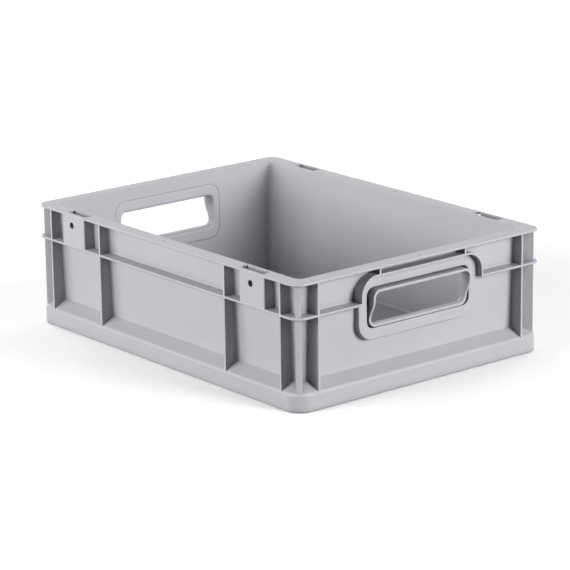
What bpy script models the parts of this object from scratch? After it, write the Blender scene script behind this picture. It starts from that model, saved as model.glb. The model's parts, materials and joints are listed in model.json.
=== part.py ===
"""Stacking plastic crate, 400 x 300 x 120 mm, with a snap-in grip insert in each short wall.

Metres, +Z up. X runs along the long side, Y along the short side, and the origin is on the
floor under the middle of the crate. An "inset" is a distance in from the footprint.
"""

import math

import bmesh
import bpy
from mathutils import Vector

MM = 0.001

# Footprint and height of the moulding.
LENGTH = 400 * MM
WIDTH = 300 * MM
HEIGHT = 120 * MM
CORNER_RADIUS = 10.5 * MM
RADIUS_LOSS = 0.30  # corner radius lost for each metre of inset
CORNER_STEPS = 6

# Rim flange.
RIM_WIDTH = 15.0 * MM
RIM_THICKNESS = 2.5 * MM
RIM_OUTER_ROUND = 1.0 * MM
RIM_INNER_ROUND = 0.8 * MM
RIM_LOWER_ROUND = 0.5 * MM

# Drafted walls: inset of each face just under the rim, and the inset gained per metre of depth.
OUTER_WALL_INSET = 11.1 * MM
OUTER_DRAFT = 0.0302
INNER_DRAFT = 0.017
FLOOR_THICKNESS = 3.0 * MM
FLOOR_FILLET = 3.0 * MM
RIM_FILLET = 1.0 * MM

# Base toe: a sloped shelf that runs out to an upright band, hollow underneath.
SLOPE_ROOT_Z = 25.4 * MM
SLOPE_LIP_Z = 17.4 * MM
BAND_TOP_ROUND = 4.0 * MM
BAND_FOOT_ROUND = 1.5 * MM
BAND_THICKNESS = 2.5 * MM
SLOPE_THICKNESS = 2.4 * MM
TOE_CORNER_RADIUS = 16.0 * MM

# Webs across the hollow of the toe, in line with the ribs.
WEB_INSETS = (2.0 * MM, 15.5 * MM)
WEB_FOOT_Z = 0.4 * MM

# Upright ribs.
RIB_THICKNESS = 2.3 * MM
RIB_FRONT_INSET = 0.15 * MM
RIB_BACK_INSET = 14.5 * MM
RIB_FOOT_FRONT_Z = 15.6 * MM
RIB_FOOT_BACK_Z = 24.4 * MM
RIB_TOP_Z = HEIGHT - 1.5 * MM
LONG_RIBS = (-175.6 * MM, -95.9 * MM, 95.9 * MM, 175.6 * MM)
SHORT_RIBS = (-124.5 * MM, 124.5 * MM)
CORNER_RIB_THICKNESS = 5.0 * MM
CORNER_RIB_FRONT = 7.1 * MM  # from the centre of the rim's corner arc
CORNER_RIB_BACK = -8.2 * MM
CORNER_RIB_FOOT_FRONT_Z = 17.0 * MM

# Level rib round the wall, which climbs over each grip as an arch.
MID_RIB_LOW = 86.3 * MM
MID_RIB_HIGH = 88.6 * MM
MID_RIB_ROUND = 0.6 * MM
MID_RIB_BACK_INSET = 12.4 * MM

# Lid-hinge pads on the long sides, along X: (middle, pocket start, pocket end, slot start, hole).
PADS = (
    (-138.0 * MM, -151.0 * MM, -120.5 * MM, -151.3 * MM, -140.5 * MM),
    (136.6 * MM, 116.0 * MM, 150.5 * MM, 114.8 * MM, 134.7 * MM),
)
PAD_WIDTH = 36.0 * MM
PAD_FRONT_INSET = 0.1 * MM
PAD_EDGE_ROUND = 1.5 * MM
PAD_HOLE_Z = 108.4 * MM
PAD_HOLE_DIAMETER = 6.3 * MM
PAD_HOLE_DEPTH = 12.0 * MM
POCKET_INSETS = (2.2 * MM, 12.0 * MM)
POCKET_DEPTH = 3.0 * MM
SLOT_LENGTH = 3.6 * MM
SLOT_INSETS = (3.5 * MM, 9.0 * MM)
SLOT_BOTTOM_Z = 112.0 * MM

# Shallow dimple in the rim at the middle of each side.
DIMPLE_DIAMETER = 4.0 * MM
DIMPLE_DEPTH = 1.8 * MM
DIMPLE_INSET = 6.5 * MM

# Raised collar round the grip opening. Outlines are (half width, lowest z, highest z, radius).
COLLAR_OUTLINE = (72.3 * MM, 50.3 * MM, 110.4 * MM, 16.5 * MM)
COLLAR_BORE = (62.3 * MM, 60.9 * MM, 99.2 * MM, 7.5 * MM)
COLLAR_FRONT_INSET = 6.9 * MM
COLLAR_BACK_INSET = 14.5 * MM
ARCH_THICKNESS = 2.0 * MM
ARCH_FRONT_INSET = 0.12 * MM
ARCH_STRUTS = (-52.0 * MM, 52.0 * MM)
ARCH_STRUT_THICKNESS = 2.0 * MM

# Grip insert: cover flange on the inner face, sleeve through the wall, swept front lip.
GRIP_OPENING = (57.4 * MM, 64.0 * MM, 95.6 * MM, 5.5 * MM)
SLEEVE_THICKNESS = 2.6 * MM
FLANGE_OUTLINE = (65.3 * MM, 51.5 * MM, 108.0 * MM, 12.0 * MM)
FLANGE_THICKNESS = 1.5 * MM
FLANGE_FLARE = 3.4 * MM
LIP_TOP_INSET = 0.3 * MM
LIP_LOW_INSET = 7.0 * MM
LIP_SWEEP_Z = (68.5 * MM, 88.5 * MM)
LIP_ROUND = 0.5 * MM
GRIP_CORNER_STEPS = 5
GRIP_SIDE_STEPS = 9

CLEARANCE = 0.3 * MM  # between two pieces that touch
OVERSHOOT = 3.0 * MM  # how far a cutter reaches past the face that it opens
SMOOTH_ANGLE = 40  # degrees, below which an edge is shaded smooth

SIDES = {  # outward normal of each side, and how far the side is from the middle
    "near": (Vector((0, -1, 0)), WIDTH / 2),
    "far": (Vector((0, 1, 0)), WIDTH / 2),
    "right": (Vector((1, 0, 0)), LENGTH / 2),
    "left": (Vector((-1, 0, 0)), LENGTH / 2),
}


def outer_inset(z):
    """Inset of the wall's outer face at height z."""
    return OUTER_WALL_INSET + OUTER_DRAFT * (HEIGHT - RIM_THICKNESS - z)


def inner_inset(z):
    """Inset of the wall's inner face at height z."""
    return RIM_WIDTH + INNER_DRAFT * (HEIGHT - z)


def slope_z(inset):
    """Height of the base toe's sloped shelf at an inset."""
    return SLOPE_LIP_Z + (SLOPE_ROOT_Z - SLOPE_LIP_Z) * inset / outer_inset(SLOPE_ROOT_Z)


def place(side, along, inset, z):
    """The world point of a side's (along, inset, z)."""
    normal, distance = SIDES[side]
    tangent = Vector((abs(normal.y), abs(normal.x), 0))
    return tangent * along + normal * (distance - inset) + Vector((0, 0, z))


def arc(centre_u, centre_v, radius, start, end, steps):
    """Points along an arc between two angles in degrees, both ends included."""
    angles = [math.radians(start + (end - start) * i / steps) for i in range(steps + 1)]
    return [(centre_u + radius * math.cos(a), centre_v + radius * math.sin(a)) for a in angles]


def rounded_outline(half_width, low, high, radius, side_steps=1, corner_steps=GRIP_CORNER_STEPS):
    """Points of a rounded rectangle in (along, z), with side_steps divisions up each upright side."""
    right = half_width - radius
    points = []
    corners = ((right, low + radius, 270), (right, high - radius, 0))
    for centre_u, centre_v, start in corners:
        points += arc(centre_u, centre_v, radius, start, start + 90, corner_steps)
        if start == 270:
            rise = high - low - 2 * radius
            points += [(half_width, centre_v + rise * i / side_steps) for i in range(1, side_steps)]
    return points + [(-u, v) for u, v in reversed(points)]


def solid_from_loops(loops, ring=False):
    """A closed mesh through loops of equal length: capped at both ends, or joined end to end."""
    mesh = bmesh.new()
    rows = [[mesh.verts.new(point) for point in loop] for loop in loops]
    count = len(rows[0])
    pairs = list(zip(rows, rows[1:]))
    if ring:
        pairs.append((rows[-1], rows[0]))
    else:
        mesh.faces.new(rows[0])
        mesh.faces.new(rows[-1])
    for lower, upper in pairs:
        for i in range(count):
            j = (i + 1) % count
            mesh.faces.new((lower[i], lower[j], upper[j], upper[i]))
    bmesh.ops.recalc_face_normals(mesh, faces=mesh.faces)
    return mesh


def add_object(name, mesh, smooth_angle=None):
    """Links a bmesh into the scene as a named object."""
    data = bpy.data.meshes.new(name)
    mesh.to_mesh(data)
    mesh.free()
    if smooth_angle is not None:
        data.shade_smooth()
        data.set_sharp_from_angle(angle=math.radians(smooth_angle))
    result = bpy.data.objects.new(name, data)
    bpy.context.scene.collection.objects.link(result)
    return result


def add_material(target, name, colour, roughness):
    """Gives an object its own plastic material."""
    material = bpy.data.materials.new(name)
    material.use_nodes = True
    shader = material.node_tree.nodes["Principled BSDF"]
    shader.inputs["Base Color"].default_value = (*colour, 1.0)
    shader.inputs["Roughness"].default_value = roughness
    shader.inputs["Metallic"].default_value = 0.0
    target.data.materials.append(material)


def corner_radius(inset, z):
    """Radius of the crate's upright corners, which grows out along the base toe."""
    root = outer_inset(SLOPE_ROOT_Z)
    radius = CORNER_RADIUS - RADIUS_LOSS * inset
    if z < SLOPE_ROOT_Z and inset < root:
        radius += (TOE_CORNER_RADIUS - CORNER_RADIUS) * (1 - inset / root)
    return radius


def crate_loop(inset, z):
    """One level loop round the crate at an inset and a height."""
    radius = corner_radius(inset, z)
    centre_x = LENGTH / 2 - inset - radius
    centre_y = WIDTH / 2 - inset - radius
    corners = ((centre_x, -centre_y, 270), (centre_x, centre_y, 0))
    corners += ((-centre_x, centre_y, 90), (-centre_x, -centre_y, 180))
    loop = []
    for x, y, start in corners:
        loop += [(u, v, z) for u, v in arc(x, y, radius, start, start + 90, CORNER_STEPS)]
    return loop


def shell_profile():
    """(inset, z) points of the moulding's section, from the floor's top face round to its underside."""
    wall_foot = inner_inset(FLOOR_THICKNESS)
    floor_bend = FLOOR_THICKNESS + FLOOR_FILLET
    rim_low = HEIGHT - RIM_THICKNESS
    slope_angle = math.degrees(math.atan2(SLOPE_ROOT_Z - SLOPE_LIP_Z, outer_inset(SLOPE_ROOT_Z)))
    band_tangent = BAND_TOP_ROUND * math.tan(math.radians(90 - slope_angle) / 2)
    slope_drop = SLOPE_THICKNESS / math.cos(math.radians(slope_angle))
    channel_back = outer_inset(SLOPE_ROOT_Z)
    points = arc(wall_foot + FLOOR_FILLET, floor_bend, FLOOR_FILLET, 270, 180, 3)
    points += arc(RIM_WIDTH - RIM_INNER_ROUND, HEIGHT - RIM_INNER_ROUND, RIM_INNER_ROUND, 0, 90, 2)
    points += arc(RIM_OUTER_ROUND, HEIGHT - RIM_OUTER_ROUND, RIM_OUTER_ROUND, 90, 180, 3)
    points += arc(RIM_LOWER_ROUND, rim_low + RIM_LOWER_ROUND, RIM_LOWER_ROUND, 180, 270, 2)
    points += arc(OUTER_WALL_INSET - RIM_FILLET, rim_low - RIM_FILLET, RIM_FILLET, 90, 0, 2)
    points.append((channel_back, SLOPE_ROOT_Z))
    band_top = SLOPE_LIP_Z - band_tangent
    points += arc(BAND_TOP_ROUND, band_top, BAND_TOP_ROUND, 90 + slope_angle, 180, 3)
    points += arc(BAND_FOOT_ROUND, BAND_FOOT_ROUND, BAND_FOOT_ROUND, 180, 270, 3)
    points.append((BAND_THICKNESS, 0))
    points.append((BAND_THICKNESS, slope_z(BAND_THICKNESS) - slope_drop))
    points.append((channel_back, SLOPE_ROOT_Z - slope_drop))
    points.append((outer_inset(0), 0))
    return points


def make_shell():
    """Floor, walls, rim and base toe in one body."""
    return solid_from_loops([crate_loop(inset, z) for inset, z in shell_profile()])


def make_mid_rib():
    """The level rib, all the way round."""
    low, high, bend = MID_RIB_LOW, MID_RIB_HIGH, MID_RIB_ROUND
    section = [(MID_RIB_BACK_INSET, low), (bend, low), (0, low + bend), (0, high - bend)]
    section += [(bend, high), (MID_RIB_BACK_INSET, high)]
    return solid_from_loops([crate_loop(inset, z) for inset, z in section], ring=True)


def upright_plate(side, middle, thickness, section):
    """A plate that stands out from a side, from its (inset, z) section."""
    ends = (middle - thickness / 2, middle + thickness / 2)
    return solid_from_loops([[place(side, end, inset, z) for inset, z in section] for end in ends])


def make_rib(side, middle):
    """One full-height stiffening rib, with its foot buried in the sloped shelf."""
    section = [(RIB_FRONT_INSET, RIB_FOOT_FRONT_Z), (RIB_BACK_INSET, RIB_FOOT_BACK_Z)]
    section += [(RIB_BACK_INSET, RIB_TOP_Z), (RIB_FRONT_INSET, RIB_TOP_Z)]
    return upright_plate(side, middle, RIB_THICKNESS, section)


def make_web(side, middle):
    """A web across the hollow of the base toe, in line with a rib."""
    front, back = WEB_INSETS
    section = [(front, WEB_FOOT_Z), (back, WEB_FOOT_Z)]
    section += [(back, RIB_FOOT_FRONT_Z), (front, RIB_FOOT_FRONT_Z)]
    return upright_plate(side, middle, RIB_THICKNESS, section)


def make_corner_rib(sign_x, sign_y):
    """The thick rib on the diagonal of a corner."""
    centre = Vector((sign_x * (LENGTH / 2 - CORNER_RADIUS), sign_y * (WIDTH / 2 - CORNER_RADIUS), 0))
    outward = Vector((sign_x, sign_y, 0)).normalized()
    sideways = Vector((-outward.y, outward.x, 0)) * CORNER_RIB_THICKNESS / 2
    section = [(CORNER_RIB_FRONT, CORNER_RIB_FOOT_FRONT_Z), (CORNER_RIB_BACK, RIB_FOOT_BACK_Z)]
    section += [(CORNER_RIB_BACK, RIB_TOP_Z), (CORNER_RIB_FRONT, RIB_TOP_Z)]
    loops = []
    for offset in (-sideways, sideways):
        loops.append([centre + outward * r + offset + Vector((0, 0, z)) for r, z in section])
    return solid_from_loops(loops)


def make_pad(side, middle):
    """A lid-hinge pad between the level rib and the rim, with rounded upright edges."""
    half, bend = PAD_WIDTH / 2, PAD_EDGE_ROUND
    plan = arc(middle + half - bend, PAD_FRONT_INSET + bend, bend, 0, -90, 3)
    plan += arc(middle - half + bend, PAD_FRONT_INSET + bend, bend, -90, -180, 3)
    plan += [(middle - half, MID_RIB_BACK_INSET), (middle + half, MID_RIB_BACK_INSET)]
    heights = (MID_RIB_LOW + CLEARANCE, RIB_TOP_Z)
    return solid_from_loops([[place(side, u, v, z) for u, v in plan] for z in heights])


def grip_prism(side, outline, inset_front, inset_back):
    """A prism through a short wall. Each inset may be a number or a function of z."""
    loops = []
    for inset in (inset_front, inset_back):
        depth = inset if callable(inset) else (lambda z, fixed=inset: fixed)
        loops.append([place(side, u, depth(z), z) for u, z in outline])
    return solid_from_loops(loops)


def make_arch(side):
    """The solid that becomes the arch once the collar's outline is cut out of it."""
    half, _, high, radius = [value + ARCH_THICKNESS for value in COLLAR_OUTLINE]
    rising = [(half, MID_RIB_LOW + CLEARANCE)]
    rising += arc(half - radius, high - radius, radius, 0, 90, GRIP_CORNER_STEPS)
    outline = rising + [(-u, v) for u, v in reversed(rising)]
    return grip_prism(side, outline, ARCH_FRONT_INSET, MID_RIB_BACK_INSET)


def make_strut(side, middle):
    """A short upright plate between the arch and the rim."""
    low = COLLAR_OUTLINE[2] + ARCH_THICKNESS / 2
    section = [(RIB_FRONT_INSET, low), (MID_RIB_BACK_INSET, low)]
    section += [(MID_RIB_BACK_INSET, RIB_TOP_Z), (RIB_FRONT_INSET, RIB_TOP_Z)]
    return upright_plate(side, middle, ARCH_STRUT_THICKNESS, section)


def box_cutter(side, along, insets, heights):
    """A box cutter from its ranges along the side, into it and in height."""
    plan = [(along[0], insets[0]), (along[1], insets[0]), (along[1], insets[1]), (along[0], insets[1])]
    return solid_from_loops([[place(side, u, v, z) for u, v in plan] for z in heights])


def make_pad_hole(side, middle):
    """The blind round hole in a pad's front face."""
    ring = arc(middle, PAD_HOLE_Z, PAD_HOLE_DIAMETER / 2, 0, 345, 23)
    depths = (-OVERSHOOT, PAD_HOLE_DEPTH)
    return solid_from_loops([[place(side, u, depth, z) for u, z in ring] for depth in depths])


def make_dimple(side):
    """A shallow round dimple in the rim's top face, at the middle of a side."""
    ring = arc(0, DIMPLE_INSET, DIMPLE_DIAMETER / 2, 0, 330, 11)
    heights = (HEIGHT - DIMPLE_DEPTH, HEIGHT + OVERSHOOT)
    return solid_from_loops([[place(side, u, v, z) for u, v in ring] for z in heights])


def grown(outline, gap):
    """An outline with every side moved out by a gap."""
    half, low, high, radius = outline
    return rounded_outline(half + gap, low - gap, high + gap, radius + gap)


def body_additions():
    """The solids that the shell is joined to."""
    solids = [make_mid_rib()]
    for side in ("near", "far"):
        solids += [make_rib(side, middle) for middle in LONG_RIBS]
        solids += [make_web(side, middle) for middle in LONG_RIBS + (0,)]
        solids += [make_pad(side, pad[0]) for pad in PADS]
    for side in ("right", "left"):
        solids += [make_rib(side, middle) for middle in SHORT_RIBS]
        solids += [make_web(side, middle) for middle in SHORT_RIBS + (0,)]
        solids += [make_strut(side, middle) for middle in ARCH_STRUTS]
        solids.append(make_arch(side))
        collar = rounded_outline(*COLLAR_OUTLINE)
        solids.append(grip_prism(side, collar, COLLAR_FRONT_INSET, COLLAR_BACK_INSET))
    solids += [make_corner_rib(x, y) for x in (-1, 1) for y in (-1, 1)]
    return solids


def body_cuts():
    """The cutters that are taken out of the joined body."""
    cutters = []
    above = HEIGHT + OVERSHOOT
    for side in ("near", "far"):
        for _, start, end, slot, hole in PADS:
            pocket = (HEIGHT - POCKET_DEPTH, above)
            cutters.append(box_cutter(side, (start, end), POCKET_INSETS, pocket))
            slot_ends = (slot, slot + SLOT_LENGTH)
            cutters.append(box_cutter(side, slot_ends, SLOT_INSETS, (SLOT_BOTTOM_Z, above)))
            cutters.append(make_pad_hole(side, hole))
    for side in ("right", "left"):
        inside = inner_inset(0) + OVERSHOOT
        face = rounded_outline(*COLLAR_OUTLINE)
        cutters.append(grip_prism(side, face, -OVERSHOOT, COLLAR_FRONT_INSET))
        cutters.append(grip_prism(side, rounded_outline(*COLLAR_BORE), 0, inside))
        cutters.append(grip_prism(side, grown(FLANGE_OUTLINE, CLEARANCE), seat_inset, inside))
    cutters += [make_dimple(side) for side in SIDES]
    return cutters


def seat_inset(z):
    """Inset of the seat that the insert's flange lies in."""
    return inner_inset(z) - FLANGE_THICKNESS - CLEARANCE


def boolean(target, operation, solids, name):
    """Joins or cuts a collection of hidden helper solids, with the exact solver."""
    group = bpy.data.collections.new(name)
    bpy.context.scene.collection.children.link(group)
    for index, mesh in enumerate(solids):
        helper = add_object(f"{name}_{index}", mesh)
        bpy.context.scene.collection.objects.unlink(helper)
        group.objects.link(helper)
        helper.hide_render = True
        helper.display_type = "WIRE"
    modifier = target.modifiers.new(name, "BOOLEAN")
    modifier.operation = operation
    modifier.operand_type = "COLLECTION"
    modifier.collection = group
    modifier.solver = "EXACT"


def lip_inset(z):
    """Inset of the sleeve's front edge: full reach along the top, swept back to the collar below."""
    low, high = LIP_SWEEP_Z
    share = min(max((z - low) / (high - low), 0.0), 1.0)
    eased = share * share * (3 - 2 * share)
    return LIP_LOW_INSET + (LIP_TOP_INSET - LIP_LOW_INSET) * eased


def make_grip_insert(side):
    """Flange, sleeve and swept lip as one closed ring of loops."""
    half, low, high, radius = GRIP_OPENING

    def loop(growth, depth, outline=None):
        """A loop round the opening; depth takes the height at the opening's own edge."""
        base = rounded_outline(half, low, high, radius, GRIP_SIDE_STEPS)
        if outline:
            points = rounded_outline(*outline, GRIP_SIDE_STEPS)
        else:
            points = rounded_outline(half + growth, low - growth, high + growth, radius + growth,
                                     GRIP_SIDE_STEPS)
        return [place(side, u, depth(v, base_v), v) for (u, v), (_, base_v) in zip(points, base)]

    def inner_face(z, _):
        return inner_inset(z)

    def flange_back(z, _):
        return inner_inset(z) - FLANGE_THICKNESS

    wall = SLEEVE_THICKNESS
    loops = [loop(wall - LIP_ROUND, lambda z, at: lip_inset(at))]
    loops.append(loop(wall, lambda z, at: lip_inset(at) + LIP_ROUND))
    loops.append(loop(wall, flange_back))
    loops.append(loop(0, flange_back, FLANGE_OUTLINE))
    loops.append(loop(0, inner_face, FLANGE_OUTLINE))
    for growth, sink in arc(FLANGE_FLARE, -FLANGE_FLARE, FLANGE_FLARE, 90, 180, 4):
        loops.append(loop(growth, lambda z, at, sink=sink: inner_inset(z) + sink))
    loops.append(loop(0, lambda z, at: lip_inset(at) + LIP_ROUND))
    loops.append(loop(LIP_ROUND, lambda z, at: lip_inset(at)))
    return solid_from_loops(loops, ring=True)


def build():
    for leftover in list(bpy.data.objects):
        bpy.data.objects.remove(leftover, do_unlink=True)
    body = add_object("crate_body", make_shell(), SMOOTH_ANGLE)
    boolean(body, "UNION", body_additions(), "body_adds")
    boolean(body, "DIFFERENCE", body_cuts(), "body_cuts")
    add_material(body, "body_plastic", (0.42, 0.425, 0.45), 0.45)
    for side in ("right", "left"):
        insert = add_object(f"grip_insert_{side}", make_grip_insert(side), SMOOTH_ANGLE)
        add_material(insert, f"grip_{side}_plastic", (0.43, 0.435, 0.46), 0.42)


build()
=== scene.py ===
"""Looks for the stacking crate: one rounded moulding, two grip inserts, grey plastic and a plain studio.

Metres, +Z up. X runs along the long side and Y along the short side. An "inset" is a distance in
from the crate's footprint, and a "growth" is a distance out from an outline round a grip.
"""

import json
import math

import bmesh
import bpy
from mathutils import Matrix, Vector

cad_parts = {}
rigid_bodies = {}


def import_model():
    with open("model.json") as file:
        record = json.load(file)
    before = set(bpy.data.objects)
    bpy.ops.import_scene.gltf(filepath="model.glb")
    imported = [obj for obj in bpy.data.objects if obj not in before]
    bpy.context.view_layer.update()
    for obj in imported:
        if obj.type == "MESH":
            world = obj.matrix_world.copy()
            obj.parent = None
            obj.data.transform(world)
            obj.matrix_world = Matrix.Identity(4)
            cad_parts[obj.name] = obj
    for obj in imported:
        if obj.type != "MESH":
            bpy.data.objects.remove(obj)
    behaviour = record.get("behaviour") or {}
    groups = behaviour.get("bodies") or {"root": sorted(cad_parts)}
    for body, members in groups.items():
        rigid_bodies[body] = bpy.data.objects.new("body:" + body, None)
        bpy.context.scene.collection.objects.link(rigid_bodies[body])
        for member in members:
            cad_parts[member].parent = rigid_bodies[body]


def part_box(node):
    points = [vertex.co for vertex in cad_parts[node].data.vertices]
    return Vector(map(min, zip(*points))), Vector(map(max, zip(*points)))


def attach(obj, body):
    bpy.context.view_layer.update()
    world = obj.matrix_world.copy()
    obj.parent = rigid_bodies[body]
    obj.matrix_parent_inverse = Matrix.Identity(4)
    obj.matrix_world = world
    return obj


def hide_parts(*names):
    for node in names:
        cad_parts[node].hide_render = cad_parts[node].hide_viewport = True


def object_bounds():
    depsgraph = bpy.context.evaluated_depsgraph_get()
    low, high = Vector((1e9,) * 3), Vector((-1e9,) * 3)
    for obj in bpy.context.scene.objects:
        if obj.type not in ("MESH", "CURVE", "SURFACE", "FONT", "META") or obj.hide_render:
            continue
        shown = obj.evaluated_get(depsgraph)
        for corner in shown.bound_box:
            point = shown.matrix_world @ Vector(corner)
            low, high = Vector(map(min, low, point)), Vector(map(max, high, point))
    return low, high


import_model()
cad_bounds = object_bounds()

MM = 0.001

# Overall sizes and the flange of a grip insert, from the frame.
BODY_LOW, BODY_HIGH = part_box("crate_body")
GRIP_LOW, GRIP_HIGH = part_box("grip_insert_right")
LENGTH = BODY_HIGH.x - BODY_LOW.x
WIDTH = BODY_HIGH.y - BODY_LOW.y
HEIGHT = BODY_HIGH.z

CORNER_RADIUS = 10.5 * MM
RADIUS_LOSS = 0.30  # corner radius lost for each metre of inset
CORNER_STEPS = 14

# Rim flange.
RIM_WIDTH = 15.0 * MM
RIM_THICKNESS = 2.5 * MM
RIM_OUTER_ROUND = 1.0 * MM
RIM_INNER_ROUND = 0.9 * MM
RIM_LOWER_ROUND = 0.5 * MM

# Drafted walls: inset of each face just under the rim, and the inset gained per metre of depth.
OUTER_WALL_INSET = 11.1 * MM
OUTER_DRAFT = 0.0302
INNER_DRAFT = 0.017
FLOOR_THICKNESS = 3.0 * MM
FLOOR_FILLET = 3.0 * MM
RIM_FILLET = 1.2 * MM

# Base toe: a sloped shelf that runs out to an upright band, hollow underneath.
SLOPE_ROOT_Z = 25.4 * MM
SLOPE_LIP_Z = 17.4 * MM
BAND_TOP_ROUND = 4.0 * MM
BAND_FOOT_ROUND = 1.5 * MM
BAND_THICKNESS = 2.5 * MM
SLOPE_THICKNESS = 2.4 * MM
TOE_CORNER_RADIUS = 16.0 * MM
WEB_INSETS = (2.0 * MM, 15.5 * MM)
WEB_FOOT_Z = 0.4 * MM

# Upright ribs.
RIB_THICKNESS = 2.3 * MM
RIB_EDGE_ROUND = 0.45 * MM
RIB_ROOT_FILLET = 1.3 * MM
RIB_FRONT_INSET = 0.15 * MM
RIB_SINK = 1.5 * MM  # how far ribs run into the rim, the wall and the sloped shelf
LONG_RIBS = (-175.6 * MM, -95.9 * MM, 95.9 * MM, 175.6 * MM)
SHORT_RIBS = (-124.5 * MM, 124.5 * MM)
CORNER_RIB_THICKNESS = 5.0 * MM
CORNER_RIB_FRONT = 7.1 * MM  # from the centre of the rim's corner arc
CORNER_RIB_BACK = -8.2 * MM
CORNER_RIB_ROUND = 0.8 * MM

# Level rib round the wall, which climbs over each grip as an arch.
MID_RIB_LOW = 86.3 * MM
MID_RIB_HIGH = 88.6 * MM
MID_RIB_ROUND = 0.8 * MM
MID_RIB_FILLET = 1.0 * MM
MID_RIB_BACK_INSET = 14.2 * MM

# Lid-hinge pads on the long sides, along X: (middle, pocket start, pocket end, slot start, hole).
PADS = (
    (-138.0 * MM, -151.0 * MM, -120.5 * MM, -151.3 * MM, -140.5 * MM),
    (136.6 * MM, 116.0 * MM, 150.5 * MM, 114.8 * MM, 134.7 * MM),
)
PAD_WIDTH = 36.0 * MM
PAD_FRONT_INSET = 0.1 * MM
PAD_EDGE_ROUND = 1.5 * MM
PAD_HOLE_Z = 108.4 * MM
PAD_HOLE_RADIUS = 3.15 * MM
PAD_HOLE_CHAMFER = 0.3 * MM
PAD_HOLE_DEPTH = 12.0 * MM
POCKET_INSETS = (2.2 * MM, 12.0 * MM)
POCKET_DEPTH = 3.0 * MM
SLOT_LENGTH = 3.6 * MM
SLOT_INSETS = (3.5 * MM, 9.0 * MM)
SLOT_BOTTOM_Z = 112.0 * MM

# Shallow dimple in the rim at the middle of each side.
DIMPLE_RADIUS = 2.0 * MM
DIMPLE_DEPTH = 1.7 * MM
DIMPLE_INSET = 6.5 * MM

# Raised collar round the grip opening. Outlines are (half width, lowest z, highest z, radius).
COLLAR_OUTLINE = (72.3 * MM, 50.3 * MM, 110.4 * MM, 16.5 * MM)
COLLAR_BORE = (62.3 * MM, 60.9 * MM, 99.2 * MM, 7.5 * MM)
COLLAR_FRONT_INSET = 6.9 * MM
COLLAR_BACK_INSET = 14.5 * MM
COLLAR_ROUND = 0.9 * MM
COLLAR_LEDGE = 0.5 * MM
COLLAR_LEDGE_INSET = 10.2 * MM
ARCH_THICKNESS = 2.0 * MM
ARCH_FRONT_INSET = 0.12 * MM
ARCH_ROUND = 0.6 * MM
ARCH_STRUTS = (-52.0 * MM, 52.0 * MM)
ARCH_STRUT_THICKNESS = 2.0 * MM

# Grip insert: cover flange on the inner face, sleeve through the wall, swept front lip.
GRIP_OPENING = (57.4 * MM, 64.0 * MM, 95.6 * MM, 5.5 * MM)
SLEEVE_THICKNESS = 2.6 * MM
FLANGE_OUTLINE = (GRIP_HIGH.y, GRIP_LOW.z, GRIP_HIGH.z, 12.0 * MM)
FLANGE_THICKNESS = 1.5 * MM
FLANGE_EDGE_ROUND = 0.3 * MM
FLANGE_FLARE = 3.4 * MM
LIP_TOP_INSET = 0.3 * MM
LIP_LOW_INSET = 7.0 * MM
LIP_SWEEP_Z = (68.5 * MM, 88.5 * MM)
LIP_ROUND = 0.5 * MM
GRIP_CORNER_STEPS = 12
GRIP_SIDE_STEPS = 24

CLEARANCE = 0.3 * MM  # between the insert and the body
OVERSHOOT = 3.0 * MM  # how far a cutter reaches past the face that it opens
SKIM = 0.03 * MM  # keeps a cutter's faces off the faces of what it cuts
SHARP_ANGLE = math.radians(34)

# Camera, from a fit to the photographed edges. Angles in degrees.
CAMERA_PLACE = Vector((2.03969, -1.66669, 0.79657))
CAMERA_AZIMUTH = 50.74
CAMERA_TILT = 15.82
CAMERA_ROLL = -0.73
CAMERA_LENS = 178.87
CAMERA_SENSOR = 36.0

# Softboxes: azimuth from the camera and elevation, in degrees, and power in watts.
SOFTBOX_DISTANCE = 2.4
SOFTBOX_SIZE = 1.0
SOFTBOXES = {
    "left_key": (-58, 17, 51),
    "right_key": (57, 16, 70),
    "left_fill": (-90, 15, 20),
    "back_left": (-150, 15, 26),
    "back_right": (150, 15, 22),
    "back": (180, 15, 6.0),
    "top": (0, 90, 5.5),
}
AMBIENT = 0.04
BACKDROP_GLOW = 0.14

# Painted shade: colour darkened by an ambient-occlusion node in the recesses between the ribs and under the
# rim, so that they look darker than the open faces.
PAINTED_SHADE_REACH = 14 * MM
PAINTED_SHADE_BAND = (0.25, 0.75)
PAINTED_SHADE_TONE = 0.6
PAINTED_SHADE_SAMPLES = 12

# Noise fields of the plastic: scale, detail, roughness and stretch.
FLOW_NOISE = (14, 4, 0.55, (1.0, 1.0, 2.2))
SPECKLE_NOISE = (1400, 2)
GRAIN_NOISE = (2600, 3, 0.6)
SCUFF_NOISE = (60, 6, 0.7, (1.0, 1.0, 9.0))
MIDDLE_BAND = (0.3, 0.7)
SCUFF_BAND = (0.60, 0.72)
EDGE_BAND = (0.51, 0.60)
FLOW_TONE = 0.022
SPECKLE_TONE = 0.012
EDGE_TONE = 0.05
SCUFF_TONE = 0.02
FLOW_ROUGHNESS = 0.03
SCUFF_ROUGHNESS = 0.08
GRAIN_BUMP = (0.35, 0.02 * MM)
FLOW_BUMP = (0.25, 0.25 * MM)
PLASTIC_IOR = 1.49

PAPER_COLOUR = (0.93, 0.93, 0.93)
PAPER_NOISE = (300, 3)
PAPER_TONE = (0.985, 1.0)
PAPER_ROUGHNESS = 0.9
PAPER_SPECULAR = 0.1
FLOOR_SEGMENTS = 24
FLOOR_HALF_SIZE = 6.0
CAMERA_CLIP = (0.1, 100)

HOLE_STEPS = 32
DIMPLE_STEPS = 24
DIMPLE_RINGS = (1.5, 1.0, 0.85, 0.6, 0.3)  # shares of the radius
NORMAL_WEIGHT = 80
FLOOR_DROP = 0.2 * MM  # keeps the paper off the crate's underside

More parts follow.
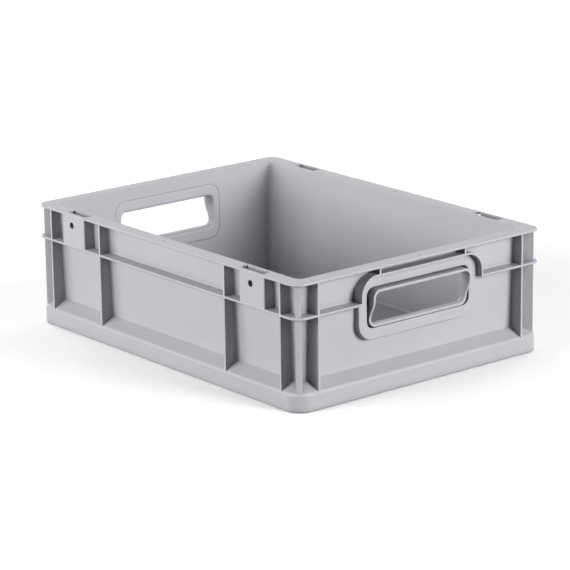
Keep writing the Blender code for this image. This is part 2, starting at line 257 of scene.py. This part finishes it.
SIDES = {  # outward normal of each side, and how far the side is from the middle
    "near": (Vector((0, -1, 0)), WIDTH / 2),
    "far": (Vector((0, 1, 0)), WIDTH / 2),
    "right": (Vector((1, 0, 0)), LENGTH / 2),
    "left": (Vector((-1, 0, 0)), LENGTH / 2),
}


# ---------------------------------------------------------------- shapes


def outer_inset(z):
    """Inset of the wall's outer face at height z."""
    return OUTER_WALL_INSET + OUTER_DRAFT * (HEIGHT - RIM_THICKNESS - z)


def inner_inset(z):
    """Inset of the wall's inner face at height z."""
    return RIM_WIDTH + INNER_DRAFT * (HEIGHT - z)


def slope_z(inset):
    """Height of the base toe's sloped shelf at an inset."""
    return SLOPE_LIP_Z + (SLOPE_ROOT_Z - SLOPE_LIP_Z) * inset / outer_inset(SLOPE_ROOT_Z)


def place(side, along, inset, z):
    """The world point of a side's (along, inset, z)."""
    normal, distance = SIDES[side]
    tangent = Vector((abs(normal.y), abs(normal.x), 0))
    return tangent * along + normal * (distance - inset) + Vector((0, 0, z))


def arc(centre_u, centre_v, radius, start, end, steps):
    """Points along an arc between two angles in degrees, both ends included."""
    angles = [math.radians(start + (end - start) * i / steps) for i in range(steps + 1)]
    return [(centre_u + radius * math.cos(a), centre_v + radius * math.sin(a)) for a in angles]


def circle(centre_u, centre_v, radius, steps):
    """Points all the way round a circle."""
    return arc(centre_u, centre_v, radius, 0, 360 - 360 / steps, steps - 1)


def rounded_outline(half_width, low, high, radius, growth=0.0, side_steps=1):
    """Points of a rounded rectangle in (along, z), with side_steps divisions up each upright side."""
    half_width, low, high = half_width + growth, low - growth, high + growth
    radius += growth
    right = half_width - radius
    points = arc(right, low + radius, radius, 270, 360, GRIP_CORNER_STEPS)
    rise = high - low - 2 * radius
    points += [(half_width, low + radius + rise * i / side_steps) for i in range(1, side_steps)]
    points += arc(right, high - radius, radius, 0, 90, GRIP_CORNER_STEPS)
    return points + [(-u, v) for u, v in reversed(points)]


def solid_from_loops(loops, ring=False):
    """A closed mesh through loops of equal length: capped at both ends, or joined end to end."""
    mesh = bmesh.new()
    rows = [[mesh.verts.new(point) for point in loop] for loop in loops]
    count = len(rows[0])
    pairs = list(zip(rows, rows[1:]))
    if ring:
        pairs.append((rows[-1], rows[0]))
    else:
        mesh.faces.new(rows[0])
        mesh.faces.new(rows[-1])
    for lower, upper in pairs:
        for i in range(count):
            j = (i + 1) % count
            mesh.faces.new((lower[i], lower[j], upper[j], upper[i]))
    bmesh.ops.recalc_face_normals(mesh, faces=mesh.faces)
    return mesh


def corner_radius(inset, z):
    """Radius of the crate's upright corners, which grows out along the base toe."""
    root = outer_inset(SLOPE_ROOT_Z)
    radius = CORNER_RADIUS - RADIUS_LOSS * inset
    if z < SLOPE_ROOT_Z and inset < root:
        radius += (TOE_CORNER_RADIUS - CORNER_RADIUS) * (1 - inset / root)
    return radius


def crate_loop(inset, z):
    """One level loop round the crate at an inset and a height."""
    radius = corner_radius(inset, z)
    centre_x = LENGTH / 2 - inset - radius
    centre_y = WIDTH / 2 - inset - radius
    corners = ((centre_x, -centre_y, 270), (centre_x, centre_y, 0))
    corners += ((-centre_x, centre_y, 90), (-centre_x, -centre_y, 180))
    loop = []
    for x, y, start in corners:
        loop += [(u, v, z) for u, v in arc(x, y, radius, start, start + 90, CORNER_STEPS)]
    return loop


def shell_profile():
    """(inset, z) points of the moulding's section, from the floor's top face round to its underside."""
    floor_bend = FLOOR_THICKNESS + FLOOR_FILLET
    rim_low = HEIGHT - RIM_THICKNESS
    root = outer_inset(SLOPE_ROOT_Z)
    slope_angle = math.degrees(math.atan2(SLOPE_ROOT_Z - SLOPE_LIP_Z, root))
    band_tangent = BAND_TOP_ROUND * math.tan(math.radians(90 - slope_angle) / 2)
    slope_drop = SLOPE_THICKNESS / math.cos(math.radians(slope_angle))
    wall_foot = inner_inset(FLOOR_THICKNESS) + FLOOR_FILLET
    points = arc(wall_foot, floor_bend, FLOOR_FILLET, 270, 180, 6)
    points += arc(RIM_WIDTH - RIM_INNER_ROUND, HEIGHT - RIM_INNER_ROUND, RIM_INNER_ROUND, 0, 90, 4)
    points += arc(RIM_OUTER_ROUND, HEIGHT - RIM_OUTER_ROUND, RIM_OUTER_ROUND, 90, 180, 5)
    points += arc(RIM_LOWER_ROUND, rim_low + RIM_LOWER_ROUND, RIM_LOWER_ROUND, 180, 270, 3)
    points += arc(OUTER_WALL_INSET - RIM_FILLET, rim_low - RIM_FILLET, RIM_FILLET, 90, 0, 4)
    points.append((root, SLOPE_ROOT_Z))
    points += arc(BAND_TOP_ROUND, SLOPE_LIP_Z - band_tangent, BAND_TOP_ROUND, 90 + slope_angle, 180, 6)
    points += arc(BAND_FOOT_ROUND, BAND_FOOT_ROUND, BAND_FOOT_ROUND, 180, 270, 4)
    points.append((BAND_THICKNESS, 0))
    points.append((BAND_THICKNESS, slope_z(BAND_THICKNESS) - slope_drop))
    points.append((root, SLOPE_ROOT_Z - slope_drop))
    points.append((outer_inset(0), 0))
    return points


def make_shell():
    """Floor, walls, rim and base toe in one body."""
    return solid_from_loops([crate_loop(inset, z) for inset, z in shell_profile()])


def make_mid_rib():
    """The level rib, all the way round, with a rounded edge and filleted roots."""
    low, high, bend, fillet = MID_RIB_LOW, MID_RIB_HIGH, MID_RIB_ROUND, MID_RIB_FILLET
    wall_high = outer_inset(high + fillet)
    wall_low = outer_inset(low - fillet)
    section = [(MID_RIB_BACK_INSET, low - fillet)]
    section += arc(wall_low - fillet, low - fillet, fillet, 0, 90, 3)
    section += arc(bend, low + bend, bend, 270, 180, 4)
    section += arc(bend, high - bend, bend, 180, 90, 4)
    section += arc(wall_high - fillet, high + fillet, fillet, 270, 360, 3)
    section.append((MID_RIB_BACK_INSET, high + fillet))
    return solid_from_loops([crate_loop(inset, z) for inset, z in section], ring=True)


def mirrored(points, middle):
    """A half outline about u = 0 and its mirror image, moved to the middle."""
    return [(middle + u, v) for u, v in points] + [(middle - u, v) for u, v in reversed(points)]


def rib_plan(middle, thickness, root):
    """A rib's plan in (along, inset): rounded front edges, and a fillet where it meets the wall."""
    half, bend, fillet = thickness / 2, RIB_EDGE_ROUND, RIB_ROOT_FILLET
    points = arc(half - bend, RIB_FRONT_INSET + bend, bend, 270, 360, 3)
    points += arc(half + fillet, root - fillet, fillet, 180, 90, 4)
    points.append((half + fillet, root + RIB_SINK))
    return mirrored(points, middle)


def upright_plate(side, middle, thickness, foot):
    """A rib that runs from foot(inset) up into the rim."""
    foot_plan = rib_plan(middle, thickness, outer_inset(foot(OUTER_WALL_INSET)))
    top = HEIGHT - RIB_SINK
    top_plan = rib_plan(middle, thickness, outer_inset(top))
    loops = [[place(side, u, v, foot(v)) for u, v in foot_plan]]
    loops.append([place(side, u, v, top) for u, v in top_plan])
    return solid_from_loops(loops)


def make_rib(side, middle):
    """One full-height stiffening rib, with its foot buried in the sloped shelf."""
    return upright_plate(side, middle, RIB_THICKNESS, lambda inset: slope_z(inset) - RIB_SINK)


def make_strut(side, middle):
    """A short upright plate between the arch and the rim."""
    low = COLLAR_OUTLINE[2] + ARCH_THICKNESS / 2
    return upright_plate(side, middle, ARCH_STRUT_THICKNESS, lambda inset: low)


def make_web(side, middle):
    """A web across the hollow of the base toe, in line with a rib."""
    front, back = WEB_INSETS
    top = SLOPE_LIP_Z - RIB_SINK
    section = [(front, WEB_FOOT_Z), (back, WEB_FOOT_Z), (back, top), (front, top)]
    ends = (middle - RIB_THICKNESS / 2, middle + RIB_THICKNESS / 2)
    return solid_from_loops([[place(side, end, inset, z) for inset, z in section] for end in ends])


def make_corner_rib(sign_x, sign_y):
    """The thick rib on the diagonal of a corner."""
    centre = Vector((sign_x * (LENGTH / 2 - CORNER_RADIUS), sign_y * (WIDTH / 2 - CORNER_RADIUS), 0))
    outward = Vector((sign_x, sign_y, 0)).normalized()
    sideways = Vector((-outward.y, outward.x, 0))
    half, bend = CORNER_RIB_THICKNESS / 2, CORNER_RIB_ROUND
    half_plan = arc(half - bend, CORNER_RIB_FRONT - bend, bend, 90, 0, 4)
    half_plan.append((half, CORNER_RIB_BACK))
    plan = mirrored(half_plan, 0.0)

    def foot(reach):
        return slope_z(CORNER_RIB_FRONT - reach) - RIB_SINK

    def level(height):
        return [centre + sideways * u + outward * r + Vector((0, 0, height(r))) for u, r in plan]

    return solid_from_loops([level(foot), level(lambda reach: HEIGHT - RIB_SINK)])


def make_pad(side, middle):
    """A lid-hinge pad between the level rib and the rim, with rounded upright edges."""
    half, bend = PAD_WIDTH / 2, PAD_EDGE_ROUND
    points = arc(half - bend, PAD_FRONT_INSET + bend, bend, 270, 360, 6)
    points.append((half, MID_RIB_BACK_INSET))
    plan = mirrored(points, middle)
    heights = (MID_RIB_LOW + CLEARANCE, HEIGHT - RIB_SINK)
    return solid_from_loops([[place(side, u, v, z) for u, v in plan] for z in heights])


def grip_loop(side, outline, growth, inset):
    """A rounded outline on a short side, grown by a distance, at an inset or at a function of z."""
    points = rounded_outline(*outline, growth)
    depth = inset if callable(inset) else (lambda z: inset)
    return [place(side, u, depth(z), z) for u, z in points]


def make_arch(side):
    """The rounded solid that becomes the arch once the collar's outline is cut out of it."""
    half, _, high, radius = COLLAR_OUTLINE
    loops = []
    section = [(ARCH_THICKNESS, MID_RIB_BACK_INSET)]
    section += arc(ARCH_THICKNESS - ARCH_ROUND, ARCH_FRONT_INSET + ARCH_ROUND, ARCH_ROUND, 0, -90, 4)
    for growth, inset in section:
        bend = radius + growth
        rising = [(half + growth, MID_RIB_LOW + CLEARANCE)]
        rising += arc(half - radius, high - radius, bend, 0, 90, GRIP_CORNER_STEPS)
        outline = mirrored(rising, 0.0)
        loops.append([place(side, u, inset, z) for u, z in outline])
    return solid_from_loops(loops)


def make_collar(side):
    """The raised collar, solid, with a ledge round its side and a rounded edge. The bore is cut later."""
    front = COLLAR_FRONT_INSET - SKIM
    section = [(COLLAR_LEDGE, COLLAR_BACK_INSET)]
    section += arc(0, COLLAR_LEDGE_INSET + COLLAR_LEDGE, COLLAR_LEDGE, 0, -90, 3)
    section += arc(-COLLAR_ROUND, front + COLLAR_ROUND, COLLAR_ROUND, 0, -90, 4)
    return solid_from_loops([grip_loop(side, COLLAR_OUTLINE, g, d) for g, d in section])


def mouth_cutter(side, outline, front, back, bend):
    """A cutter through a face at inset front, whose mouth is rounded over by bend."""
    section = [(bend, front - SKIM - 2 * OVERSHOOT), (bend, front - SKIM)]
    section += arc(bend, front + bend, bend, 255, 180, 4)
    section.append((0, back))
    return solid_from_loops([grip_loop(side, outline, g + SKIM, d) for g, d in section])


def make_seat_cutter(side):
    """The rebate in the inner face that the insert's flange lies in."""

    def seat(z):
        return inner_inset(z) - FLANGE_THICKNESS - CLEARANCE

    inside = inner_inset(0) + OVERSHOOT
    return solid_from_loops([grip_loop(side, FLANGE_OUTLINE, CLEARANCE, d) for d in (seat, inside)])


def box_cutter(side, along, insets, heights):
    """A box cutter from its ranges along the side, into it and in height."""
    plan = [(along[0], insets[0]), (along[1], insets[0]), (along[1], insets[1]), (along[0], insets[1])]
    return solid_from_loops([[place(side, u, v, z) for u, v in plan] for z in heights])


def make_pad_hole(side, middle):
    """The blind round hole in a pad's front face, with a small chamfer."""
    chamfer = PAD_HOLE_CHAMFER
    section = ((PAD_HOLE_RADIUS + chamfer + OVERSHOOT, -OVERSHOOT), (PAD_HOLE_RADIUS, chamfer))
    section += ((PAD_HOLE_RADIUS, PAD_HOLE_DEPTH),)
    loops = []
    for radius, inset in section:
        ring = circle(middle, PAD_HOLE_Z, radius, HOLE_STEPS)
        loops.append([place(side, u, PAD_FRONT_INSET + inset, z) for u, z in ring])
    return solid_from_loops(loops)


def make_dimple(side):
    """A shallow dished dimple in the rim's top face, at the middle of a side."""
    loops = []
    for share in DIMPLE_RINGS:
        depth = DIMPLE_DEPTH * (1 - share ** 4)
        ring = circle(0, DIMPLE_INSET, DIMPLE_RADIUS * share, DIMPLE_STEPS)
        loops.append([place(side, u, v, HEIGHT - depth) for u, v in ring])
    return solid_from_loops(loops)


def body_additions():
    """The solids that the shell is joined to."""
    solids = [make_mid_rib()]
    for side in ("near", "far"):
        solids += [make_rib(side, middle) for middle in LONG_RIBS]
        solids += [make_web(side, middle) for middle in LONG_RIBS + (0,)]
        solids += [make_pad(side, pad[0]) for pad in PADS]
    for side in ("right", "left"):
        solids += [make_rib(side, middle) for middle in SHORT_RIBS]
        solids += [make_web(side, middle) for middle in SHORT_RIBS + (0,)]
        solids += [make_strut(side, middle) for middle in ARCH_STRUTS]
        solids += [make_arch(side), make_collar(side)]
    solids += [make_corner_rib(x, y) for x in (-1, 1) for y in (-1, 1)]
    return solids


def body_cuts():
    """The cutters that are taken out of the joined body."""
    cutters = []
    above = HEIGHT + OVERSHOOT
    for side in ("near", "far"):
        for _, start, end, slot, hole in PADS:
            pocket = (HEIGHT - POCKET_DEPTH, above)
            cutters.append(box_cutter(side, (start, end), POCKET_INSETS, pocket))
            slot_ends = (slot, slot + SLOT_LENGTH)
            cutters.append(box_cutter(side, slot_ends, SLOT_INSETS, (SLOT_BOTTOM_Z, above)))
            cutters.append(make_pad_hole(side, hole))
    for side in ("right", "left"):
        inside = inner_inset(0) + OVERSHOOT
        cutters.append(mouth_cutter(side, COLLAR_OUTLINE, 0, COLLAR_FRONT_INSET, ARCH_ROUND))
        cutters.append(mouth_cutter(side, COLLAR_BORE, COLLAR_FRONT_INSET, inside, COLLAR_ROUND))
        cutters.append(make_seat_cutter(side))
    cutters += [make_dimple(side) for side in SIDES]
    return cutters


def lip_inset(z):
    """Inset of the sleeve's front edge: full reach along the top, swept back to the collar below."""
    low, high = LIP_SWEEP_Z
    share = min(max((z - low) / (high - low), 0.0), 1.0)
    eased = share * share * (3 - 2 * share)
    return LIP_LOW_INSET + (LIP_TOP_INSET - LIP_LOW_INSET) * eased


def make_grip_insert(side):
    """Flange, sleeve and swept lip as one closed ring of loops."""
    base = rounded_outline(*GRIP_OPENING, side_steps=GRIP_SIDE_STEPS)

    def loop(growth, depth, outline=GRIP_OPENING):
        """A loop round the opening. depth takes a point's own z and that of the opening's edge."""
        points = rounded_outline(*outline, growth, GRIP_SIDE_STEPS)
        return [place(side, u, depth(v, edge), v) for (u, v), (_, edge) in zip(points, base)]

    def lip(growth, sink):
        return loop(growth, lambda z, edge: lip_inset(edge) + sink)

    def face(growth, sink, outline=GRIP_OPENING):
        return loop(growth, lambda z, edge: inner_inset(z) + sink, outline)

    loops = []
    outer_bend = arc(SLEEVE_THICKNESS - LIP_ROUND, LIP_ROUND, LIP_ROUND, -90, 0, 4)
    loops += [lip(growth, sink) for growth, sink in outer_bend]
    loops.append(face(SLEEVE_THICKNESS, -FLANGE_THICKNESS))
    loops.append(face(0, -FLANGE_THICKNESS, FLANGE_OUTLINE))
    edge_bend = arc(-FLANGE_EDGE_ROUND, -FLANGE_EDGE_ROUND, FLANGE_EDGE_ROUND, 0, 90, 2)
    loops += [face(growth, sink, FLANGE_OUTLINE) for growth, sink in edge_bend]
    flare = arc(FLANGE_FLARE, -FLANGE_FLARE, FLANGE_FLARE, 90, 180, 8)
    loops += [face(growth, sink) for growth, sink in flare]
    inner_bend = arc(LIP_ROUND, LIP_ROUND, LIP_ROUND, 180, 270, 4)
    loops += [lip(growth, sink) for growth, sink in inner_bend]
    return solid_from_loops(loops, ring=True)


# ---------------------------------------------------------------- objects


def add_object(name, mesh):
    """Links a bmesh into the scene as a named object."""
    data = bpy.data.meshes.new(name)
    mesh.to_mesh(data)
    mesh.free()
    result = bpy.data.objects.new(name, data)
    bpy.context.scene.collection.objects.link(result)
    return result


def combine(target, operation, solids):
    """Joins solids to the target or cuts them from it, and keeps only the resulting mesh."""
    group = bpy.data.collections.new(f"{target.name}_{operation}")
    for index, solid in enumerate(solids):
        helper = add_object(f"{group.name}_{index}", solid)
        bpy.context.scene.collection.objects.unlink(helper)
        group.objects.link(helper)
    modifier = target.modifiers.new(operation, "BOOLEAN")
    modifier.operation = operation
    modifier.operand_type = "COLLECTION"
    modifier.collection = group
    modifier.solver = "EXACT"
    bpy.context.view_layer.update()
    graph = bpy.context.evaluated_depsgraph_get()
    result = bpy.data.meshes.new_from_object(target.evaluated_get(graph))
    target.modifiers.clear()
    target.data = result
    for helper in list(group.objects):
        bpy.data.meshes.remove(helper.data)
    bpy.data.collections.remove(group)


def finish_shading(target):
    """Smooth curves, crisp edges, and flat faces that stay flat beside small rounds."""
    target.data.shade_smooth()
    target.data.set_sharp_from_angle(angle=SHARP_ANGLE)
    weighted = target.modifiers.new("flat_faces", "WEIGHTED_NORMAL")
    weighted.keep_sharp = True
    weighted.weight = NORMAL_WEIGHT


def show(target, node, material):
    """Puts a finished piece in place of its CAD node."""
    finish_shading(target)
    target.data.materials.clear()
    target.data.materials.append(material)
    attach(target, "root")
    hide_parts(node)


# ---------------------------------------------------------------- materials


class Nodes:
    """Short calls that add nodes to a material and link them."""

    def __init__(self, material):
        material.use_nodes = True
        self.tree = material.node_tree
        self.tree.nodes.clear()

    def add(self, kind, **settings):
        node = self.tree.nodes.new(f"ShaderNode{kind}")
        for name, value in settings.items():
            setattr(node, name, value)
        return node

    def link(self, source, target):
        self.tree.links.new(source, target)

    def noise(self, place_from, scale, detail, roughness=0.5, stretch=None):
        """Noise in object space. stretch scales the three axes apart from each other."""
        node = self.add("TexNoise")
        node.inputs["Scale"].default_value = scale
        node.inputs["Detail"].default_value = detail
        node.inputs["Roughness"].default_value = roughness
        if stretch:
            mapping = self.add("Mapping")
            mapping.inputs["Scale"].default_value = stretch
            self.link(place_from, mapping.inputs["Vector"])
            place_from = mapping.outputs["Vector"]
        self.link(place_from, node.inputs["Vector"])
        return node.outputs["Fac"]

    def band(self, value, low, high, out_low, out_high):
        """Maps low..high to out_low..out_high, clamped."""
        node = self.add("MapRange")
        for name, number in zip(("From Min", "From Max", "To Min", "To Max"), (low, high, out_low, out_high)):
            node.inputs[name].default_value = number
        self.link(value, node.inputs["Value"])
        return node.outputs["Result"]

    def maths(self, operation, first, second):
        node = self.add("Math", operation=operation)
        for socket, value in zip(node.inputs, (first, second)):
            if isinstance(value, (int, float)):
                socket.default_value = value
            else:
                self.link(value, socket)
        return node.outputs["Value"]

    def scale_colour(self, colour, factor):
        """A fixed colour times a factor that varies over the surface."""
        node = self.add("VectorMath", operation="SCALE")
        node.inputs[0].default_value = colour
        self.link(factor, node.inputs["Scale"])
        return node.outputs["Vector"]


def plastic(name, colour, roughness):
    """Moulded polypropylene: fine grain, faint flow mottling, paler worn edges, light scuffs, and painted
    shade that darkens the colour in recesses.
    """
    material = bpy.data.materials.new(name)
    nodes = Nodes(material)
    place_from = nodes.add("TexCoord").outputs["Object"]
    flow = nodes.noise(place_from, *FLOW_NOISE)
    speckle = nodes.noise(place_from, *SPECKLE_NOISE)
    grain = nodes.noise(place_from, *GRAIN_NOISE)
    scuff_field = nodes.noise(place_from, *SCUFF_NOISE)
    scuffs = nodes.band(scuff_field, *SCUFF_BAND, 0.0, 1.0)
    edge = nodes.band(nodes.add("NewGeometry").outputs["Pointiness"], *EDGE_BAND, 0.0, 1.0)

    tone = nodes.maths("ADD", nodes.band(flow, *MIDDLE_BAND, -FLOW_TONE, FLOW_TONE), 1.0)
    tone = nodes.maths("ADD", tone, nodes.band(speckle, *MIDDLE_BAND, -SPECKLE_TONE, SPECKLE_TONE))
    tone = nodes.maths("ADD", tone, nodes.maths("MULTIPLY", edge, EDGE_TONE))
    tone = nodes.maths("ADD", tone, nodes.maths("MULTIPLY", scuffs, SCUFF_TONE))
    # Painted shade: an ambient-occlusion node darkens the colour wherever the surface is hemmed in by nearby
    # geometry.
    painted_recess_shade = nodes.add("AmbientOcclusion")
    painted_recess_shade.samples = PAINTED_SHADE_SAMPLES
    painted_recess_shade.inputs["Distance"].default_value = PAINTED_SHADE_REACH
    shade = nodes.band(painted_recess_shade.outputs["AO"], *PAINTED_SHADE_BAND, PAINTED_SHADE_TONE, 1.0)
    tone = nodes.maths("MULTIPLY", tone, shade)
    rough = nodes.maths("ADD", nodes.band(flow, *MIDDLE_BAND, -FLOW_ROUGHNESS, FLOW_ROUGHNESS), roughness)
    rough = nodes.maths("ADD", rough, nodes.maths("MULTIPLY", scuffs, SCUFF_ROUGHNESS))

    fine = nodes.add("Bump")
    fine.inputs["Strength"].default_value, fine.inputs["Distance"].default_value = GRAIN_BUMP
    nodes.link(grain, fine.inputs["Height"])
    sink = nodes.add("Bump")
    sink.inputs["Strength"].default_value, sink.inputs["Distance"].default_value = FLOW_BUMP
    nodes.link(flow, sink.inputs["Height"])
    nodes.link(fine.outputs["Normal"], sink.inputs["Normal"])

    shader = nodes.add("BsdfPrincipled")
    shader.inputs["Metallic"].default_value = 0.0
    shader.inputs["IOR"].default_value = PLASTIC_IOR
    nodes.link(nodes.scale_colour(colour, tone), shader.inputs["Base Color"])
    nodes.link(rough, shader.inputs["Roughness"])
    nodes.link(sink.outputs["Normal"], shader.inputs["Normal"])
    output = nodes.add("OutputMaterial")
    nodes.link(shader.outputs["BSDF"], output.inputs["Surface"])
    return material


def backdrop_material():
    """Matt white studio paper with a faint tooth."""
    material = bpy.data.materials.new("backdrop_paper")
    nodes = Nodes(material)
    place_from = nodes.add("TexCoord").outputs["Object"]
    tooth = nodes.noise(place_from, *PAPER_NOISE)
    tone = nodes.band(tooth, *MIDDLE_BAND, *PAPER_TONE)
    shader = nodes.add("BsdfPrincipled")
    shader.inputs["Roughness"].default_value = PAPER_ROUGHNESS
    shader.inputs["Specular IOR Level"].default_value = PAPER_SPECULAR
    shader.inputs["Emission Color"].default_value = (1, 1, 1, 1)
    shader.inputs["Emission Strength"].default_value = BACKDROP_GLOW
    nodes.link(nodes.scale_colour(PAPER_COLOUR, tone), shader.inputs["Base Color"])
    output = nodes.add("OutputMaterial")
    nodes.link(shader.outputs["BSDF"], output.inputs["Surface"])
    return material


# ---------------------------------------------------------------- studio


def camera_axes():
    """The camera's right, up and forward directions."""
    azimuth, tilt, roll = (math.radians(a) for a in (CAMERA_AZIMUTH, CAMERA_TILT, CAMERA_ROLL))
    level = Vector((-math.sin(azimuth), math.cos(azimuth), 0))
    right = Vector((math.cos(azimuth), math.sin(azimuth), 0))
    forward = level * math.cos(tilt) - Vector((0, 0, 1)) * math.sin(tilt)
    up = level * math.sin(tilt) + Vector((0, 0, 1)) * math.cos(tilt)
    rolled_right = right * math.cos(roll) + up * math.sin(roll)
    rolled_up = up * math.cos(roll) - right * math.sin(roll)
    return rolled_right, rolled_up, forward


def add_camera():
    right, up, forward = camera_axes()
    data = bpy.data.cameras.new("camera")
    data.sensor_width = CAMERA_SENSOR
    data.lens = CAMERA_LENS
    data.clip_start, data.clip_end = CAMERA_CLIP
    camera = bpy.data.objects.new("camera", data)
    rotation = Matrix((right, up, -forward)).transposed()
    camera.matrix_world = Matrix.Translation(CAMERA_PLACE) @ rotation.to_4x4()
    bpy.context.scene.collection.objects.link(camera)
    bpy.context.scene.camera = camera


def add_softbox(name, azimuth, elevation, power):
    """A square area light that faces the crate. Azimuth is 0 on the camera's side and grows to its right."""
    right, _, forward = camera_axes()
    across = Vector((right.x, right.y, 0)).normalized()
    towards = -Vector((forward.x, forward.y, 0)).normalized()
    turn, climb = math.radians(azimuth), math.radians(elevation)
    level = towards * math.cos(turn) + across * math.sin(turn)
    direction = level * math.cos(climb) + Vector((0, 0, 1)) * math.sin(climb)
    data = bpy.data.lights.new(name, "AREA")
    data.shape = "SQUARE"
    data.size = SOFTBOX_SIZE
    data.energy = power
    light = bpy.data.objects.new(name, data)
    light.location = Vector((0, 0, HEIGHT / 2)) + direction * SOFTBOX_DISTANCE
    light.rotation_euler = direction.to_track_quat("Z", "Y").to_euler()
    bpy.context.scene.collection.objects.link(light)


def add_floor():
    """A wide sheet of backdrop paper on the ground."""
    mesh = bmesh.new()
    bmesh.ops.create_grid(mesh, x_segments=FLOOR_SEGMENTS, y_segments=FLOOR_SEGMENTS, size=FLOOR_HALF_SIZE)
    floor = add_object("floor", mesh)
    floor.location.z = cad_bounds[0][2] - FLOOR_DROP
    floor.data.materials.append(backdrop_material())
    floor.visible_diffuse = False


def add_world():
    """A dim ambient, which the camera sees as white."""
    world = bpy.data.worlds.new("studio")
    bpy.context.scene.world = world
    nodes = Nodes(world)
    ambient = nodes.add("Background")
    ambient.inputs["Color"].default_value = (1, 1, 1, 1)
    ambient.inputs["Strength"].default_value = AMBIENT
    seen = nodes.add("Background")
    seen.inputs["Color"].default_value = (1, 1, 1, 1)
    mix = nodes.add("MixShader")
    nodes.link(nodes.add("LightPath").outputs["Is Camera Ray"], mix.inputs["Fac"])
    nodes.link(ambient.outputs["Background"], mix.inputs[1])
    nodes.link(seen.outputs["Background"], mix.inputs[2])
    nodes.link(mix.outputs["Shader"], nodes.add("OutputWorld").inputs["Surface"])


def add_studio():
    add_camera()
    add_floor()
    add_world()
    for name, (azimuth, elevation, power) in SOFTBOXES.items():
        add_softbox(name, azimuth, elevation, power)
    bpy.context.scene.view_settings.view_transform = "Standard"


# ---------------------------------------------------------------- build

body = add_object("crate_moulding", make_shell())
combine(body, "UNION", body_additions())
combine(body, "DIFFERENCE", body_cuts())
show(body, "crate_body", plastic("body_plastic", (0.42, 0.425, 0.45), 0.46))
for end in ("right", "left"):
    insert = add_object(f"grip_frame_{end}", make_grip_insert(end))
    show(insert, f"grip_insert_{end}", plastic(f"grip_{end}_plastic", (0.43, 0.435, 0.46), 0.42))
add_studio()
